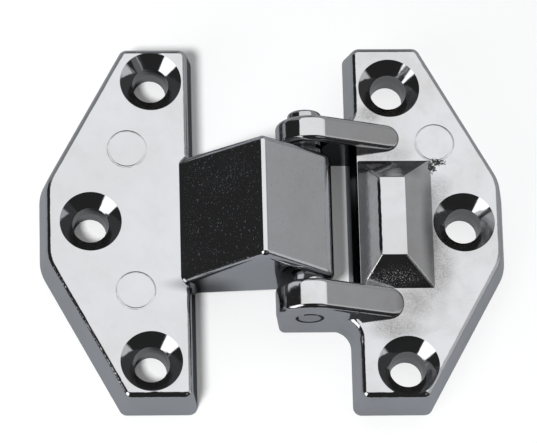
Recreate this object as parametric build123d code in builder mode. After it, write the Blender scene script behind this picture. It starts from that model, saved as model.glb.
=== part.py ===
from build123d import *
import math
import os

# Cabinet door hinge: two die-cast leaves and one headed pin, shown opened flat.
# Millimetres. +Z up, the mounting faces lie on Z = 0, the pin runs along Y.
# The origin is the middle of the footprint, on the mounting plane.

# ---------------------------------------------------------------- driving dimensions
plate_t = 7.0            # thickness of both screw plates
draft = 1.05             # how far a plate's foot stands outside its top outline
plate_corner_r = 1.4     # plan radius of the plate corners
plate_tip_r = 7.0        # the same at the two blunt corners of the outer side
plate_edge_r = 1.2       # rounding along a plate's top edges

# door leaf (left): outline of the top face
door_in_x = -13.74
door_mid_x = -24.14
door_out_x = -36.72
door_y0, door_y1 = -29.46, 29.66
door_tip_y0, door_tip_y1 = -6.01, 6.76
door_holes = [(-19.59, 24.07), (-29.60, 0.07), (-20.15, -23.51)]
door_marks = [(-23.62, 12.37), (-22.49, -11.71)]

# frame leaf (right): outline of the top face
frame_in_x = 13.37
frame_mid_x = 23.99
frame_out_x = 36.72
frame_y0, frame_y1 = -29.79, 29.79
frame_tip_y0, frame_tip_y1 = -6.66, 6.66
frame_holes = [(19.28, 22.74), (30.72, -0.44), (20.92, -24.61)]
frame_marks = [(26.38, 13.18)]

# the frame leaf's flank between the ears: nearly upright, with a steep bevel up to the stop block
flank_foot_x = 12.32
flank_bevel_x, flank_bevel_z = 12.60, 5.15
flank_top_x = 13.68

# countersunk screw holes, the same six times: a cone, a short taper below it and the straight hole
screw_hole_r = 2.62
sink_r = 5.0
sink_deg = 90.0
taper_r, taper_z = 2.95, 4.95    # where the cone meets the taper
straight_z = 3.0                 # top of the straight hole

# ejector marks: shallow rings in the top faces
mark_r = 3.05
mark_w = 0.40
mark_depth = 0.20

# pin
pin_x = 5.25
pin_z = 7.45
pin_r = 2.0
ear_bore_r = 2.01
arm_bore_r = 2.06
head_r = 2.75
head_t = 1.85
pin_bevel = 0.28         # bevel round the plain end, which is level with the front ear
recess_r = 2.32          # shallow recess in the ear round that end
recess_depth = 0.35
head_round_r = 0.55

# ears of the frame leaf
ear_front_y0, ear_front_y1 = -16.75, -11.50
ear_back_y0, ear_back_y1 = 11.80, 16.20
ear_front_r, ear_front_dx = 5.65, 0.25    # rounding about the pin, and how far its centre is off the pin
ear_back_r, ear_back_dx = 5.55, 0.80
ear_slope_deg = 23.2     # the ear's back runs down to the plate
ear_nose_x = 20.7        # end of the full-round nose
ear_lean_deg = 7.0       # the ear's end leans in below the pin
ear_edge_r = 0.95
web_r = 3.2              # hollow corner between an ear and the plate

# stop block of the frame leaf (a low pyramid with a flat top)
block_foot = (13.72, -11.60, 25.60, 10.15)    # x0, y0, x1, y1 on the plate
block_top = (16.93, -6.97, 21.03, 6.23)
block_h = 3.3
block_edge_r = 0.55

# arm of the door leaf
ridge_x, ridge_z = -2.35, 19.95
ridge_r = 0.9
arm_start_x = -15.15     # where the left slope leaves the plate
knuckle_r = 4.1
arm_half_y = 10.60       # half width at the plate's top
arm_y = 0.12
arm_draft_deg = 1.8
arm_edge_r = 1.1
root_r = 0.8             # hollow rounding where the arm meets its plate
under_x, under_z = -13.0, 1.25    # where the underside leaves the plate
hub_r = 2.8
hub_front_y, hub_back_y = -11.15, 11.45


def grown(pts, grow):
    """A counter-clockwise outline, moved outward by grow on every side."""
    out = []
    n = len(pts)
    for i in range(n):
        (ax, ay), (bx, by), (cx, cy) = pts[i - 1], pts[i], pts[(i + 1) % n]
        l1, l2 = math.hypot(bx - ax, by - ay), math.hypot(cx - bx, cy - by)
        n1 = ((by - ay) / l1, -(bx - ax) / l1)
        n2 = ((cy - by) / l2, -(cx - bx) / l2)
        k = grow / (1 + n1[0] * n2[0] + n1[1] * n2[1])
        out.append((bx + k * (n1[0] + n2[0]), by + k * (n1[1] + n2[1])))
    return out


# ---------------------------------------------------------------- outlines and profiles worked out
door_crown = [(door_in_x, door_y0), (door_in_x, door_y1), (door_mid_x, door_y1),
              (door_out_x, door_tip_y1), (door_out_x, door_tip_y0), (door_mid_x, door_y0)]
door_foot = grown(door_crown, draft)

frame_crown = [(frame_in_x, frame_y0), (frame_mid_x, frame_y0), (frame_out_x, frame_tip_y0),
               (frame_out_x, frame_tip_y1), (frame_mid_x, frame_y1), (frame_in_x, frame_y1)]
frame_foot = grown(frame_crown, draft)

# hollow corners beside the ears, same place in Y at the foot and at the top
web_a = math.radians(75)
web_in = web_r * (1 - math.cos(web_a))
web_mid = web_r * (1 - math.cos(web_a / 2))
web_dy = web_r * math.sin(web_a)
web_mid_dy = web_dy - web_r * math.sin(web_a / 2)
ear_core = 2.2           # how far the plate's outline runs inside an ear

# arm: right slope is the line from the ridge that touches the knuckle, underside the same
ddx, ddz = pin_x - ridge_x, pin_z - ridge_z
slope_a = math.atan2(ddz, ddx) + math.asin(knuckle_r / math.hypot(ddx, ddz))
slope_end = (pin_x - knuckle_r * math.sin(slope_a), pin_z + knuckle_r * math.cos(slope_a))
ux, uz = pin_x - under_x, pin_z - under_z
under_a = math.atan2(uz, ux) - math.asin(knuckle_r / math.hypot(ux, uz))
under_end = (pin_x + knuckle_r * math.sin(under_a), pin_z - knuckle_r * math.cos(under_a))
knuckle_mid = (pin_x + knuckle_r, pin_z)

# ears: the top line touches the round and runs down into the plate
es = math.radians(ear_slope_deg)
ear_run_z = 5.5
lean = math.radians(ear_lean_deg)


def ear_points(r, dx):
    """Round's left end, its middle and its right end, the foot of the leaning end, and the top line's end."""
    cx, cz = pin_x + dx, pin_z
    lean_top = (cx - r * math.cos(lean), cz - r * math.sin(lean))
    mid = (cx - r * math.cos(math.radians(50)), cz + r * math.sin(math.radians(50)))
    top = (cx + r * math.sin(es), cz + r * math.cos(es))
    foot_x = lean_top[0] + lean_top[1] * math.tan(lean)
    run_x = top[0] + (top[1] - ear_run_z) / math.tan(es)
    return lean_top, mid, top, foot_x, run_x


ear_left = pin_x + ear_front_dx - ear_front_r

# ---------------------------------------------------------------- arm of the door leaf
with BuildPart() as arm:
    with BuildSketch(Plane.XZ.offset(-arm_y)) as roof:
        with BuildLine():
            Polyline((under_x, under_z), (arm_start_x - 3.0, under_z), (arm_start_x - 3.0, plate_t - 1.5),
                     (arm_start_x - 1.5, plate_t - 1.5), (ridge_x, ridge_z), slope_end)
            ThreePointArc(slope_end, knuckle_mid, under_end)
            Line(under_end, (under_x, under_z))
        make_face()
        fillet(roof.vertices().sort_by(Axis.Y)[-1], radius=ridge_r)
    extrude(amount=arm_half_y + 1.5, both=True)
    # sides lean in towards the ridge
    with BuildSketch(Plane.XY) as sides:
        with Locations((0, arm_y)):
            Rectangle(120, 2 * (arm_half_y + plate_t * math.tan(math.radians(arm_draft_deg))))
    extrude(amount=24, taper=arm_draft_deg, mode=Mode.INTERSECT)
    flanks = arm.faces().filter_by(lambda f: abs(f.normal_at().Y) > 0.9)
    rims = flanks.edges().filter_by(lambda e: e.center().Z > plate_t)
    fillet(rims, radius=arm_edge_r)
    # short hubs that take up the room between the ears
    with BuildSketch(Plane.XZ.offset(-hub_front_y)):
        with Locations((pin_x, pin_z)):
            Circle(hub_r)
    extrude(amount=-(hub_back_y - hub_front_y))

# ---------------------------------------------------------------- door leaf
with BuildPart() as door_leaf:
    with BuildSketch(Plane.XY):
        with BuildLine():
            Polyline(*door_foot, close=True)
        make_face()
    with BuildSketch(Plane.XY.offset(plate_t)):
        with BuildLine():
            Polyline(*door_crown, close=True)
        make_face()
    loft(ruled=True)
    uprights = door_leaf.edges().filter_by(lambda e: abs(e.center().Z - plate_t / 2) < 0.5)
    fillet(uprights.filter_by(lambda e: e.center().X < door_mid_x - 4), radius=plate_tip_r)
    uprights = door_leaf.edges().filter_by(lambda e: abs(e.center().Z - plate_t / 2) < 0.5
                                           and e.center().X > door_mid_x - 4)
    fillet(uprights, radius=plate_corner_r)
    fillet(door_leaf.faces().sort_by(Axis.Z)[-1].edges(), radius=plate_edge_r)
    add(arm.part)
    # hollow rounding where the arm grows out of the plate
    roots = door_leaf.edges().filter_by(
        lambda e: e.center().X < door_in_x + draft + 0.2 and e.center().X > arm_start_x - 0.3
        and abs(e.center().Y - arm_y) < arm_half_y + 0.6 and 0.6 < e.center().Z < plate_t + 0.1)
    fillet(roots, radius=root_r)
    with Locations(*[(x, y, plate_t) for x, y in door_holes]):
        CounterSinkHole(radius=screw_hole_r, counter_sink_radius=sink_r, counter_sink_angle=sink_deg)
    with Locations(*[(x, y, straight_z) for x, y in door_holes]):
        Cone(bottom_radius=screw_hole_r, top_radius=taper_r, height=taper_z - straight_z,
             align=(Align.CENTER, Align.CENTER, Align.MIN), mode=Mode.SUBTRACT)
    # bore for the pin
    with BuildSketch(Plane.XZ.offset(-20)):
        with Locations((pin_x, pin_z)):
            Circle(arm_bore_r)
    extrude(amount=40, mode=Mode.SUBTRACT)
    # ejector marks
    with BuildSketch(Plane.XY.offset(plate_t)):
        with Locations(*door_marks):
            Circle(mark_r + mark_w / 2)
            Circle(mark_r - mark_w / 2, mode=Mode.SUBTRACT)
    extrude(amount=-mark_depth, mode=Mode.SUBTRACT)
door_leaf.part.label = "door_leaf"


# ---------------------------------------------------------------- ears of the frame leaf
with BuildPart() as ears:
    for y0, y1, r, dx in ((ear_front_y0, ear_front_y1, ear_front_r, ear_front_dx),
                          (ear_back_y0, ear_back_y1, ear_back_r, ear_back_dx)):
        lean_top, mid, top, foot_x, run_x = ear_points(r, dx)
        with BuildSketch(Plane.XZ.offset(-y0)):
            with BuildLine():
                Polyline(lean_top, (foot_x, 0.0), (frame_in_x + 3.0, 0.0),
                         (frame_in_x + 3.0, 2.0), (run_x, 2.0), (run_x, ear_run_z), top)
                ThreePointArc(top, mid, lean_top)
            make_face()
        extrude(amount=-(y1 - y0))
    # in plan each ear ends in a full-round nose
    with BuildSketch(Plane.XY) as plan:
        for y0, y1 in ((ear_front_y0, ear_front_y1), (ear_back_y0, ear_back_y1)):
            r = (y1 - y0) / 2
            with Locations(((ear_left - 5 + ear_nose_x - r) / 2, (y0 + y1) / 2)):
                Rectangle(ear_nose_x - r - ear_left + 5, y1 - y0)
            with Locations((ear_nose_x - r, (y0 + y1) / 2)):
                Circle(r)
    extrude(amount=20, mode=Mode.INTERSECT)
    flanks = ears.faces().filter_by(lambda f: f.geom_type == GeomType.PLANE and abs(f.normal_at().Y) > 0.9)
    rims = flanks.edges().filter_by(lambda e: e.center().Z > 0.2 and e.center().X < ear_nose_x - 2.4
                                    and not (abs(e.center().X - frame_in_x - 3.0) < 0.1))
    rims = rims.filter_by(lambda e: e.center().Z > 3.0 or e.center().X < ear_left + 1.6)
    fillet(rims, radius=ear_edge_r)

# ---------------------------------------------------------------- frame leaf
with BuildPart() as frame_leaf:
    for z, outline, x_in in ((0.0, frame_foot, frame_in_x - draft), (plate_t, frame_crown, frame_in_x)):
        with BuildSketch(Plane.XY.offset(z)):
            with BuildLine():
                Polyline((x_in, ear_front_y0 - web_dy), *outline, (x_in, ear_back_y1 + web_dy))
                ThreePointArc((x_in, ear_back_y1 + web_dy), (x_in - web_mid, ear_back_y1 + web_mid_dy),
                              (x_in - web_in, ear_back_y1))
                Polyline((x_in - web_in, ear_back_y1), (x_in - web_in, ear_back_y1 - ear_core),
                         (x_in, ear_back_y1 - ear_core), (x_in, ear_front_y0 + ear_core),
                         (x_in - web_in, ear_front_y0 + ear_core), (x_in - web_in, ear_front_y0))
                ThreePointArc((x_in - web_in, ear_front_y0), (x_in - web_mid, ear_front_y0 - web_mid_dy),
                              (x_in, ear_front_y0 - web_dy))
            make_face()
    loft(ruled=True)
    uprights = frame_leaf.edges().filter_by(
        lambda e: abs(e.center().Z - plate_t / 2) < 0.5 and (e.center().X > 20 or abs(e.center().Y) > 27))
    fillet(uprights.filter_by(lambda e: e.center().X > frame_mid_x + 4), radius=plate_tip_r)
    uprights = frame_leaf.edges().filter_by(
        lambda e: abs(e.center().Z - plate_t / 2) < 0.5 and abs(e.center().Y) > 27)
    fillet(uprights, radius=plate_corner_r)
    top_rim = frame_leaf.faces().sort_by(Axis.Z)[-1].edges()
    outer_rim = top_rim.filter_by(lambda e: abs(e.center().Y) > 16 or e.center().X > 20)
    fillet(outer_rim, radius=plate_edge_r)
    # flank between the ears: the plate's own edge is cut back first
    with BuildSketch(Plane.XZ.offset(-ear_front_y1)):
        with BuildLine():
            Polyline((flank_foot_x - 2.0, 4.0), (flank_top_x, 4.0), (flank_top_x, plate_t + 1.0),
                     (flank_foot_x - 2.0, plate_t + 1.0), close=True)
        make_face()
    extrude(amount=-(ear_back_y0 - ear_front_y1), mode=Mode.SUBTRACT)
    with BuildSketch(Plane.XZ.offset(-ear_front_y1 + 0.5)):
        with BuildLine():
            Polyline((flank_foot_x, 0.0), (flank_foot_x + 5.0, 0.0), (flank_foot_x + 5.0, plate_t), (flank_top_x, plate_t),
                     (flank_bevel_x, flank_bevel_z), close=True)
        make_face()
    extrude(amount=-(ear_back_y0 - ear_front_y1 + 1.0))
    add(ears.part)
    # stop block
    with BuildSketch(Plane.XY.offset(plate_t)):
        with Locations(((block_foot[0] + block_foot[2]) / 2, (block_foot[1] + block_foot[3]) / 2)):
            Rectangle(block_foot[2] - block_foot[0], block_foot[3] - block_foot[1])
    with BuildSketch(Plane.XY.offset(plate_t + block_h)):
        with Locations(((block_top[0] + block_top[2]) / 2, (block_top[1] + block_top[3]) / 2)):
            Rectangle(block_top[2] - block_top[0], block_top[3] - block_top[1])
    loft(ruled=True)
    slants = frame_leaf.edges().filter_by(
        lambda e: plate_t + 0.1 < e.center().Z < plate_t + block_h + 0.1
        and block_foot[0] < e.center().X < block_foot[2] and block_foot[1] < e.center().Y < block_foot[3])
    fillet(slants, radius=block_edge_r)
    with Locations(*[(x, y, plate_t) for x, y in frame_holes]):
        CounterSinkHole(radius=screw_hole_r, counter_sink_radius=sink_r, counter_sink_angle=sink_deg)
    with Locations(*[(x, y, straight_z) for x, y in frame_holes]):
        Cone(bottom_radius=screw_hole_r, top_radius=taper_r, height=taper_z - straight_z,
             align=(Align.CENTER, Align.CENTER, Align.MIN), mode=Mode.SUBTRACT)
    # bores for the pin
    with BuildSketch(Plane.XZ.offset(-20)):
        with Locations((pin_x, pin_z)):
            Circle(ear_bore_r)
    extrude(amount=40, mode=Mode.SUBTRACT)
    with BuildSketch(Plane.XZ.offset(-ear_front_y0)):
        with Locations((pin_x, pin_z)):
            Circle(recess_r)
    extrude(amount=-recess_depth, mode=Mode.SUBTRACT)
    # ejector mark
    with BuildSketch(Plane.XY.offset(plate_t)):
        with Locations(*frame_marks):
            Circle(mark_r + mark_w / 2)
            Circle(mark_r - mark_w / 2, mode=Mode.SUBTRACT)
    extrude(amount=-mark_depth, mode=Mode.SUBTRACT)
frame_leaf.part.label = "frame_leaf"

# ---------------------------------------------------------------- pin
with BuildPart() as hinge_pin:
    with BuildSketch(Plane.XZ.offset(-ear_front_y0)):
        with Locations((pin_x, pin_z)):
            Circle(pin_r)
    extrude(amount=-(ear_back_y1 - ear_front_y0))
    chamfer(hinge_pin.edges().sort_by(Axis.Y)[0], length=pin_bevel)
    with BuildSketch(Plane.XZ.offset(-ear_back_y1)):
        with Locations((pin_x, pin_z)):
            Circle(head_r)
    extrude(amount=-head_t)
    fillet(hinge_pin.edges().sort_by(Axis.Y)[-1], radius=head_round_r)
hinge_pin.part.label = "hinge_pin"

os.makedirs("parts", exist_ok=True)
export_step(door_leaf.part, "parts/door_leaf.step")
export_step(frame_leaf.part, "parts/frame_leaf.step")
export_step(hinge_pin.part, "parts/hinge_pin.step")
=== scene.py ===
import math

import bpy
from mathutils import Matrix, Vector

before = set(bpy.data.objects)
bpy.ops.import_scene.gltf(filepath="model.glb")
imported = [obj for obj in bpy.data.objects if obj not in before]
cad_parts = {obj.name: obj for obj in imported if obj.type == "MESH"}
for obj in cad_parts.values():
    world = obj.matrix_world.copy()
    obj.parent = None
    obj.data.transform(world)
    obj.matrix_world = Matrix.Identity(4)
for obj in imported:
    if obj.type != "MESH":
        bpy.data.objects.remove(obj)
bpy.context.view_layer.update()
scene = bpy.context.scene
scene.view_settings.view_transform = "Standard"
scene.view_settings.look = "None"
scene.view_settings.exposure = 0.0
scene.view_settings.gamma = 1.0


# ---------------------------------------------------------------- node helpers
class Net:
    """Small wrapper that adds and joins nodes of one tree."""

    def __init__(self, tree):
        self.tree = tree

    def node(self, kind, **props):
        n = self.tree.nodes.new(kind)
        for k, v in props.items():
            setattr(n, k, v)
        return n

    def put(self, socket, value):
        if isinstance(value, bpy.types.NodeSocket):
            self.tree.links.new(value, socket)
        else:
            socket.default_value = value

    def math(self, op, a, b=None, c=None, clamp=False):
        n = self.node("ShaderNodeMath", operation=op, use_clamp=clamp)
        for i, v in enumerate((a, b, c)):
            if v is not None:
                self.put(n.inputs[i], v)
        return n.outputs[0]

    def step(self, value, a, b, lo=0.0, hi=1.0, smooth=True):
        n = self.node("ShaderNodeMapRange", clamp=True)
        n.interpolation_type = "SMOOTHSTEP" if smooth else "LINEAR"
        self.put(n.inputs["Value"], value)
        n.inputs["From Min"].default_value = a
        n.inputs["From Max"].default_value = b
        n.inputs["To Min"].default_value = lo
        n.inputs["To Max"].default_value = hi
        return n.outputs[0]

    def noise(self, vector, scale, detail=2.0, rough=0.5, distortion=0.0):
        n = self.node("ShaderNodeTexNoise")
        self.put(n.inputs["Vector"], vector)
        n.inputs["Scale"].default_value = scale
        n.inputs["Detail"].default_value = detail
        n.inputs["Roughness"].default_value = rough
        n.inputs["Distortion"].default_value = distortion
        return n.outputs["Fac"]

    def mix(self, fac, a, b):
        n = self.node("ShaderNodeMix", data_type="RGBA")
        self.put(n.inputs["Factor"], fac)
        self.put(n.inputs[6], a)
        self.put(n.inputs[7], b)
        return n.outputs[2]

    def shifted(self, vector, by):
        n = self.node("ShaderNodeVectorMath", operation="ADD")
        self.put(n.inputs[0], vector)
        n.inputs[1].default_value = by
        return n.outputs[0]


# ---------------------------------------------------------------- materials
def soft_spot(g, where, centre, half):
    """1 at the middle of an ellipsoid, fading to 0 at its rim. Two numbers mean an ellipse on the plate's top."""
    n = g.node("ShaderNodeVectorMath", operation="SUBTRACT")
    g.put(n.inputs[0], where)
    n.inputs[1].default_value = tuple(centre) if len(centre) == 3 else (centre[0], centre[1], 0.007)
    m = g.node("ShaderNodeVectorMath", operation="DIVIDE")
    g.put(m.inputs[0], n.outputs[0])
    m.inputs[1].default_value = tuple(half) if len(half) == 3 else (half[0], half[1], 0.0012)
    size = g.node("ShaderNodeVectorMath", operation="LENGTH")
    g.put(size.inputs[0], m.outputs[0])
    return g.step(size.outputs["Value"], 0.15, 1.0, 1.0, 0.0)


def around(g, where, centre):
    """Distance in plan from an upright axis."""
    n = g.node("ShaderNodeVectorMath", operation="SUBTRACT")
    g.put(n.inputs[0], where)
    n.inputs[1].default_value = (centre[0], centre[1], 0.0)
    m = g.node("ShaderNodeVectorMath", operation="MULTIPLY")
    g.put(m.inputs[0], n.outputs[0])
    m.inputs[1].default_value = (1.0, 1.0, 0.0)
    size = g.node("ShaderNodeVectorMath", operation="LENGTH")
    g.put(size.inputs[0], m.outputs[0])
    return size.outputs["Value"]


def bar(g, where, centre, half):
    """1 inside a box, fading out over the outer part of its half sizes."""
    n = g.node("ShaderNodeVectorMath", operation="SUBTRACT")
    g.put(n.inputs[0], where)
    n.inputs[1].default_value = centre
    m = g.node("ShaderNodeVectorMath", operation="DIVIDE")
    g.put(m.inputs[0], n.outputs[0])
    m.inputs[1].default_value = half
    a = g.node("ShaderNodeVectorMath", operation="ABSOLUTE")
    g.put(a.inputs[0], m.outputs[0])
    parts = g.node("ShaderNodeSeparateXYZ")
    g.put(parts.inputs[0], a.outputs[0])
    most = g.math("MAXIMUM", g.math("MAXIMUM", parts.outputs[0], parts.outputs[1]), parts.outputs[2])
    return g.step(most, 0.80, 1.0, 1.0, 0.0)


def chrome(name, bright, warm, shift, grain, wave, holes=(), marks=(), painted_dark_reflection_patches=(), scuffs=(), painted_dark_edge_lines=(),
           shades=(), grainy=()):
    """Bright chrome over a die casting: cloudy tone, slow waviness under the plating, and the cast skin's grain,
    which is stronger where a face slopes than on the flat, better finished tops. The bored holes are smoother, and
    painted shade darkens their walls."""
    mat = bpy.data.materials.new(name)
    mat.use_nodes = True
    tree = mat.node_tree
    tree.nodes.clear()
    g = Net(tree)
    out = g.node("ShaderNodeOutputMaterial")
    bsdf = g.node("ShaderNodeBsdfPrincipled")
    tree.links.new(bsdf.outputs["BSDF"], out.inputs["Surface"])
    coords = g.node("ShaderNodeTexCoord")
    place = coords.outputs["Object"]
    where = g.shifted(place, shift)
    facing = g.node("ShaderNodeSeparateXYZ")
    tree.links.new(coords.outputs["Normal"], facing.inputs[0])
    slope = g.step(facing.outputs[2], 0.80, 0.97, 1.0, 0.0)
    cast = bore_shade = None
    for centre in holes:
        away = around(g, place, centre)
        one = g.step(away, 0.00500, 0.00520)
        cast = one if cast is None else g.math("MINIMUM", cast, one)
        one = g.step(away, 0.00290, 0.00302, 1.0, 0.0)
        bore_shade = one if bore_shade is None else g.math("MAXIMUM", bore_shade, one)
    if cast is not None:
        slope = g.math("MULTIPLY", slope, cast)

    cloud = g.noise(where, 70.0, 3.0, 0.55, 0.3)
    patch = g.noise(g.shifted(where, (0.31, 0.12, 0.07)), 260.0, 4.0, 0.6)
    fine = g.noise(where, 2600.0, 3.0, 0.62)
    specks = g.step(g.noise(g.shifted(where, (0.11, 0.52, 0.23)), 3100.0, 1.0, 0.5), 0.66, 0.84)
    tone = g.math("ADD", g.math("MULTIPLY", g.step(cloud, 0.36, 0.66), 0.60), g.math("MULTIPLY", g.step(patch, 0.42, 0.70), 0.40))
    colour = g.mix(tone, bright, warm)
    rough = g.step(g.math("ADD", g.math("MULTIPLY", patch, 0.6), g.math("MULTIPLY", fine, 0.4)), 0.36, 0.66, 0.035, 0.110)

    # painted dark reflections: soft darker patches on the plate's top stand in for dark things it mirrors; the
    # plating is also made rougher there
    painted_dark_reflection = None
    for centre, half, strength in painted_dark_reflection_patches:
        one = g.math("MULTIPLY", soft_spot(g, place, centre, half), strength)
        painted_dark_reflection = one if painted_dark_reflection is None else g.math("MAXIMUM", painted_dark_reflection, one)
    if painted_dark_reflection is not None:
        drift = g.math("SUBTRACT", g.noise(g.shifted(where, (0.6, 0.2, 0.3)), 260.0, 3.0, 0.55, 0.4), 0.5)
        painted_dark_reflection = g.step(g.math("ADD", painted_dark_reflection, g.math("MULTIPLY", drift, 0.7)), 0.05, 1.0, smooth=False)
        grit = g.noise(g.shifted(where, (0.3, 0.8, 0.5)), 5200.0, 3.0, 0.70)
        broken = g.math("MULTIPLY", painted_dark_reflection, g.step(grit, 0.34, 0.68, 0.42, 1.0))
        colour = g.mix(broken, colour, (0.265, 0.262, 0.258, 1.0))
        rough = g.math("ADD", rough, g.math("MULTIPLY", broken, 0.12))
    # painted shade in the ejector-mark grooves: the rings are darkened, broken up by noise
    for centre in marks:
        away = around(g, place, centre)
        ring = g.math("MULTIPLY", g.step(away, 0.00296, 0.00308), g.step(away, 0.00322, 0.00330, 1.0, 0.0))
        ring = g.math("MULTIPLY", ring, g.step(g.noise(g.shifted(where, (0.9, 0.1, 0.2)), 360.0, 3.0, 0.6), 0.42, 0.60, 0.08, 0.62))
        colour = g.mix(ring, colour, (0.30, 0.30, 0.31, 1.0))
    # painted dark reflection: a thin ragged dark line along the rounding of the block's top-left edge
    for centre, half in painted_dark_edge_lines:
        wander = g.node("ShaderNodeTexNoise")
        g.put(wander.inputs["Vector"], where)
        wander.inputs["Scale"].default_value = 900.0
        off = g.node("ShaderNodeVectorMath", operation="MULTIPLY_ADD")
        g.put(off.inputs[0], wander.outputs["Color"])
        off.inputs[1].default_value = (0.00022, 0.0, 0.0)
        g.put(off.inputs[2], place)
        colour = g.mix(bar(g, off.outputs[0], (centre[0] + 0.00011, centre[1], centre[2]), half), colour, (0.040, 0.040, 0.042, 1.0))
    # painted shade: the bore walls are darkened where light doesn't reach into the holes, and are also made rougher
    if bore_shade is not None:
        colour = g.mix(bore_shade, colour, (0.36, 0.35, 0.34, 1.0))
        rough = g.math("ADD", rough, g.math("MULTIPLY", bore_shade, 0.10))
    for centre, half, strength in shades:
        dim = g.math("MULTIPLY", soft_spot(g, place, centre, half), g.step(patch, 0.30, 0.60, 0.85 * strength, strength))
        colour = g.mix(dim, colour, (0.060, 0.060, 0.064, 1.0))
    scuff = None
    for centre, half in scuffs:
        one = soft_spot(g, place, centre, half)
        scuff = one if scuff is None else g.math("MAXIMUM", scuff, one)
    if scuff is not None:
        shred = g.noise(g.shifted(where, (0.4, 0.1, 0.6)), 2900.0, 4.0, 0.70, 0.5)
        torn = g.math("ADD", g.math("MULTIPLY", scuff, 0.42), g.math("MULTIPLY", shred, 1.5))
        torn = g.math("MULTIPLY", g.step(torn, 0.96, 1.08), g.step(scuff, 0.02, 0.12))
        colour = g.mix(torn, colour, (0.045, 0.043, 0.042, 1.0))

    g.put(bsdf.inputs["Base Color"], colour)
    bsdf.inputs["Metallic"].default_value = 1.0
    g.put(bsdf.inputs["Roughness"], rough)

    slow = g.node("ShaderNodeBump")
    slow.inputs["Strength"].default_value = 1.0
    slow.inputs["Distance"].default_value = wave
    g.put(slow.inputs["Height"], g.noise(g.shifted(where, (0.05, 0.4, 0.2)), 330.0, 2.0, 0.5))
    skin = g.node("ShaderNodeBump")
    skin.inputs["Strength"].default_value = 1.0
    skin.inputs["Distance"].default_value = grain
    height = g.math("ADD", g.math("MULTIPLY", fine, g.math("ADD", g.math("MULTIPLY", slope, 0.75), 0.25)),
                    g.math("MULTIPLY", g.math("MULTIPLY", specks, slope), 1.6))
    for centre, half, amount in grainy:
        pits = g.step(g.noise(g.shifted(where, (0.2, 0.2, 0.9)), 4200.0, 2.0, 0.6), 0.50, 0.75)
        height = g.math("ADD", height, g.math("MULTIPLY", g.math("MULTIPLY", pits, soft_spot(g, place, centre, half)), amount))
    if scuff is not None:
        height = g.math("SUBTRACT", height, g.math("MULTIPLY", torn, 6.0))
    g.put(skin.inputs["Height"], height)
    g.put(skin.inputs["Normal"], slow.outputs["Normal"])
    g.put(bsdf.inputs["Normal"], skin.outputs["Normal"])
    return mat


BRIGHT = (0.745, 0.758, 0.790, 1.0)
WARM = (0.695, 0.697, 0.708, 1.0)
door_chrome = chrome(
    "door_casting_chrome", BRIGHT, WARM, (0.0, 0.0, 0.0), 0.000009, 0.000020,
    holes=((-0.01959, 0.02407), (-0.02960, 0.00007), (-0.02015, -0.02351)),
    marks=((-0.02362, 0.01237), (-0.02249, -0.01171)),
    shades=(((-0.0120, -0.0107, 0.0030), (0.0086, 0.0020, 0.0088), 0.93),),
    grainy=(((-0.0065, 0.0050, 0.0160), (0.0085, 0.0080, 0.0080), 0.45),),
)
frame_chrome = chrome(
    "frame_casting_chrome", BRIGHT, (0.655, 0.650, 0.650, 1.0), (0.7, 0.3, 0.1), 0.000009, 0.000022,
    holes=((0.01928, 0.02274), (0.03072, -0.00044), (0.02092, -0.02461)),
    marks=((0.02638, 0.01318),),
    # painted dark reflection patches on the plate's top
    painted_dark_reflection_patches=(
        ((0.0260, -0.0068), (0.0044, 0.0120), 0.85),
        ((0.0268, 0.0042), (0.0036, 0.0050), 0.62),
        ((0.0218, -0.0142), (0.0056, 0.0050), 0.82),
        ((0.0244, -0.0122), (0.0040, 0.0036), 0.60),
        ((0.0192, -0.0180), (0.0062, 0.0040), 0.85),
        ((0.0157, 0.0182), (0.0034, 0.0024), 0.75),
        ((0.0180, 0.0112), (0.0070, 0.0022), 0.55),
    ),
    scuffs=(((0.02660, 0.00985), (0.0021, 0.0009)), ((0.02585, 0.00895), (0.0011, 0.0014))),
    grainy=(((0.0195, -0.0098, 0.0078), (0.0070, 0.0030, 0.0030), 3.2),),
    # painted dark reflection line along the block's top-left edge
    painted_dark_edge_lines=(((0.01683, -0.00037, 0.0101), (0.00026, 0.0069, 0.0005)),),
    shades=(
        ((0.0252, -0.0015, 0.0077), (0.0023, 0.0110, 0.0022), 0.58),
        ((0.0192, 0.0079, 0.0087), (0.0072, 0.0022, 0.0026), 0.48),
    ),
)
pin_chrome = chrome("pin_chrome", (0.64, 0.65, 0.675, 1.0), (0.50, 0.505, 0.515, 1.0), (0.2, 0.9, 0.4), 0.000006, 0.000008)

for node, mat in (("door_leaf", door_chrome), ("frame_leaf", frame_chrome), ("hinge_pin", pin_chrome)):
    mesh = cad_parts[node].data
    mesh.materials.clear()
    mesh.materials.append(mat)


# ---------------------------------------------------------------- floor
FLOOR_R = 0.24
floor_mesh = bpy.data.meshes.new("floor")
ring = [(FLOOR_R * math.cos(2 * math.pi * i / 96), FLOOR_R * math.sin(2 * math.pi * i / 96), 0.0) for i in range(96)]
floor_mesh.from_pydata(ring, [], [list(range(96))])
floor = bpy.data.objects.new("floor", floor_mesh)
floor.location = (0.0, 0.0, -0.00005)
scene.collection.objects.link(floor)
paper = bpy.data.materials.new("floor_paper")
paper.use_nodes = True
pn = Net(paper.node_tree)
paper_bsdf = paper.node_tree.nodes["Principled BSDF"]
where = pn.node("ShaderNodeTexCoord").outputs["Object"]
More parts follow.
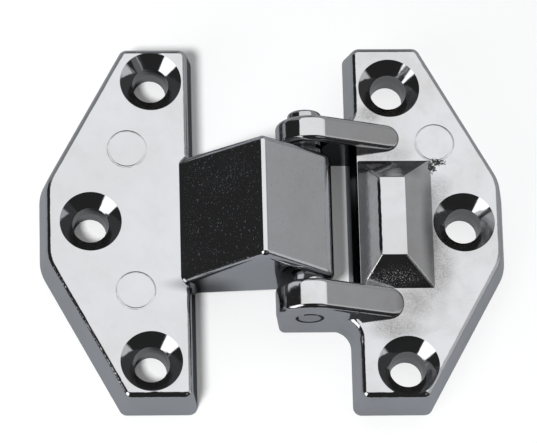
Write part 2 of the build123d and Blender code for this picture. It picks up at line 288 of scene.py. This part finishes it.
# painted shade on the floor: mirror bounces see it darker (0.30, then 0.06 after two bounces) than the camera does,
# standing in for the floor shaded beside the metal; seen directly it also glows faintly (0.13), lifting its shadows
seen = pn.mix(pn.noise(where, 9.0, 2.0), (0.86, 0.865, 0.872, 1.0), (0.89, 0.892, 0.896, 1.0))
bounce = pn.node("ShaderNodeLightPath").outputs["Glossy Depth"]
once = pn.mix(pn.step(bounce, 0.0, 1.0, smooth=False), seen, (0.300, 0.312, 0.330, 1.0))
pn.put(paper_bsdf.inputs["Base Color"], pn.mix(pn.step(bounce, 1.0, 2.0, smooth=False), once, (0.060, 0.062, 0.066, 1.0)))
pn.put(paper_bsdf.inputs["Emission Color"], seen)
pn.put(paper_bsdf.inputs["Emission Strength"], pn.step(bounce, 0.0, 1.0, 0.13, 0.0, smooth=False))
paper_bsdf.inputs["Roughness"].default_value = 0.9
paper_bsdf.inputs["Specular IOR Level"].default_value = 0.1
floor_mesh.materials.append(paper)


# ---------------------------------------------------------------- studio
world = bpy.data.worlds.new("studio")
scene.world = world
world.use_nodes = True
wt = world.node_tree
wt.nodes.clear()
w = Net(wt)
out = w.node("ShaderNodeOutputWorld")
split = w.node("ShaderNodeSeparateXYZ")
wt.links.new(w.node("ShaderNodeTexCoord").outputs["Generated"], split.inputs[0])
x, y, z = split.outputs
up = w.math("MAXIMUM", z, 0.0005)
u = w.math("DIVIDE", x, up)
v = w.math("DIVIDE", y, up)
# the large softbox overhead: hard edges to the left and front, soft edge to the right
box = w.math("MULTIPLY", w.step(u, -0.78, -0.70), w.step(u, 0.85, 1.30, 1.0, 0.0))
box = w.math("MULTIPLY", box, w.step(v, -0.20, -0.10))
box = w.math("MULTIPLY", box, w.step(v, 1.15, 1.65, 1.0, 0.0))
box = w.math("MULTIPLY", box, w.step(z, 0.0, 0.05))
# the room: dark to the left and to the front, grey to the right, lighter grey behind
turn = w.math("MULTIPLY", w.math("ARCTAN2", y, x), 180.0 / math.pi)
right = w.math("MULTIPLY", w.step(turn, -24.0, -16.0), w.step(turn, 70.0, 95.0, 1.0, 0.0))
right = w.math("MULTIPLY", right, w.step(turn, 0.0, 12.0, 0.56, 0.35))
right = w.math("MULTIPLY", right, w.step(z, 0.08, 0.40, 1.0, 0.84))
right = w.math("MULTIPLY", right, w.step(z, 0.45, 0.60, 1.0, 1.14))
back = w.math("MULTIPLY", w.step(turn, 75.0, 100.0), w.step(turn, 135.0, 150.0, 1.0, 0.0))
back = w.math("MULTIPLY", back, 0.22)
# a dim panel high at the front right
panel = w.math("MULTIPLY", w.step(turn, -70.0, -62.0), w.step(turn, -44.0, -36.0, 1.0, 0.0))
panel = w.math("MULTIPLY", panel, w.math("MULTIPLY", w.step(z, 0.42, 0.48), w.step(z, 0.76, 0.84, 1.0, 0.0)))
# a white card at the front left
card = w.math("MULTIPLY", w.step(turn, -167.0, -163.0), w.step(turn, -129.0, -125.0, 1.0, 0.0))
card = w.math("MULTIPLY", card, w.math("MULTIPLY", w.step(z, 0.10, 0.16), w.step(z, 0.74, 0.80, 1.0, 0.0)))
room = w.math("ADD", w.math("MAXIMUM", w.math("MAXIMUM", right, back), w.math("MULTIPLY", panel, 0.20)), 0.022)
room = w.math("MULTIPLY", room, w.step(z, -0.10, 0.0, 0.30, 1.0))
light = w.math("MAXIMUM", room, w.math("MAXIMUM", box, w.math("MULTIPLY", card, 1.5)))
path = w.node("ShaderNodeLightPath")
light = w.math("MULTIPLY", light, w.step(path.outputs["Diffuse Depth"], 0.0, 1.0, 1.0, 0.40))
# a second mirror bounce gives back less than the first
light = w.math("MULTIPLY", light, w.step(path.outputs["Glossy Depth"], 1.0, 2.0, 1.0, 0.54, smooth=False))
light = w.math("MULTIPLY", light, w.step(path.outputs["Glossy Depth"], 2.0, 3.0, 1.0, 0.50, smooth=False))
# but never quite nothing
light = w.math("MAXIMUM", light, w.step(path.outputs["Glossy Depth"], 1.0, 2.0, 0.0, 0.060, smooth=False))
lit = w.node("ShaderNodeBackground")
w.put(lit.inputs["Strength"], light)
lit.inputs["Color"].default_value = (1.0, 1.0, 1.0, 1.0)
plain = w.node("ShaderNodeBackground")
plain.inputs["Color"].default_value = (0.80, 0.805, 0.812, 1.0)
both = w.node("ShaderNodeMixShader")
wt.links.new(path.outputs["Is Camera Ray"], both.inputs[0])
wt.links.new(lit.outputs[0], both.inputs[1])
wt.links.new(plain.outputs[0], both.inputs[2])
wt.links.new(both.outputs[0], out.inputs["Surface"])

# fill for the floor alone: the metal doesn't mirror it
fill_data = bpy.data.lights.new("floor_fill", "AREA")
fill_data.shape = "DISK"
fill_data.size = 0.24
fill_data.energy = 9.4
fill = bpy.data.objects.new("floor_fill", fill_data)
fill.location = (-0.35, -0.36, 0.90)
fill.rotation_euler = (Vector((0, 0, 0)) - fill.location).to_track_quat("-Z", "Y").to_euler()
fill.visible_glossy = False
scene.collection.objects.link(fill)
# only the door leaf keeps this light off the floor, so the gap under the arm is the one deep shadow
casters = bpy.data.collections.new("floor_fill_casters")
casters.objects.link(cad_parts["door_leaf"])
fill.light_linking.blocker_collection = casters


# ---------------------------------------------------------------- camera
cam_data = bpy.data.cameras.new("camera")
cam_data.sensor_fit = "HORIZONTAL"
cam_data.sensor_width = 36.0
cam_data.lens = 292.95
cam_data.clip_start = 0.01
cam_data.clip_end = 10.0
cam = bpy.data.objects.new("camera", cam_data)
r, t, f = Vector((0.99813, -0.02486, 0.05592)), Vector((0.00535, 0.94572, 0.32493)), Vector((0.06096, 0.32402, -0.94408))
cam.matrix_world = Matrix((
    (r.x, t.x, -f.x, -0.043904),
    (r.y, t.y, -f.y, -0.228451),
    (r.z, t.z, -f.z, 0.672191),
    (0.0, 0.0, 0.0, 1.0),
))
scene.collection.objects.link(cam)
scene.camera = cam

bpy.context.view_layer.update()
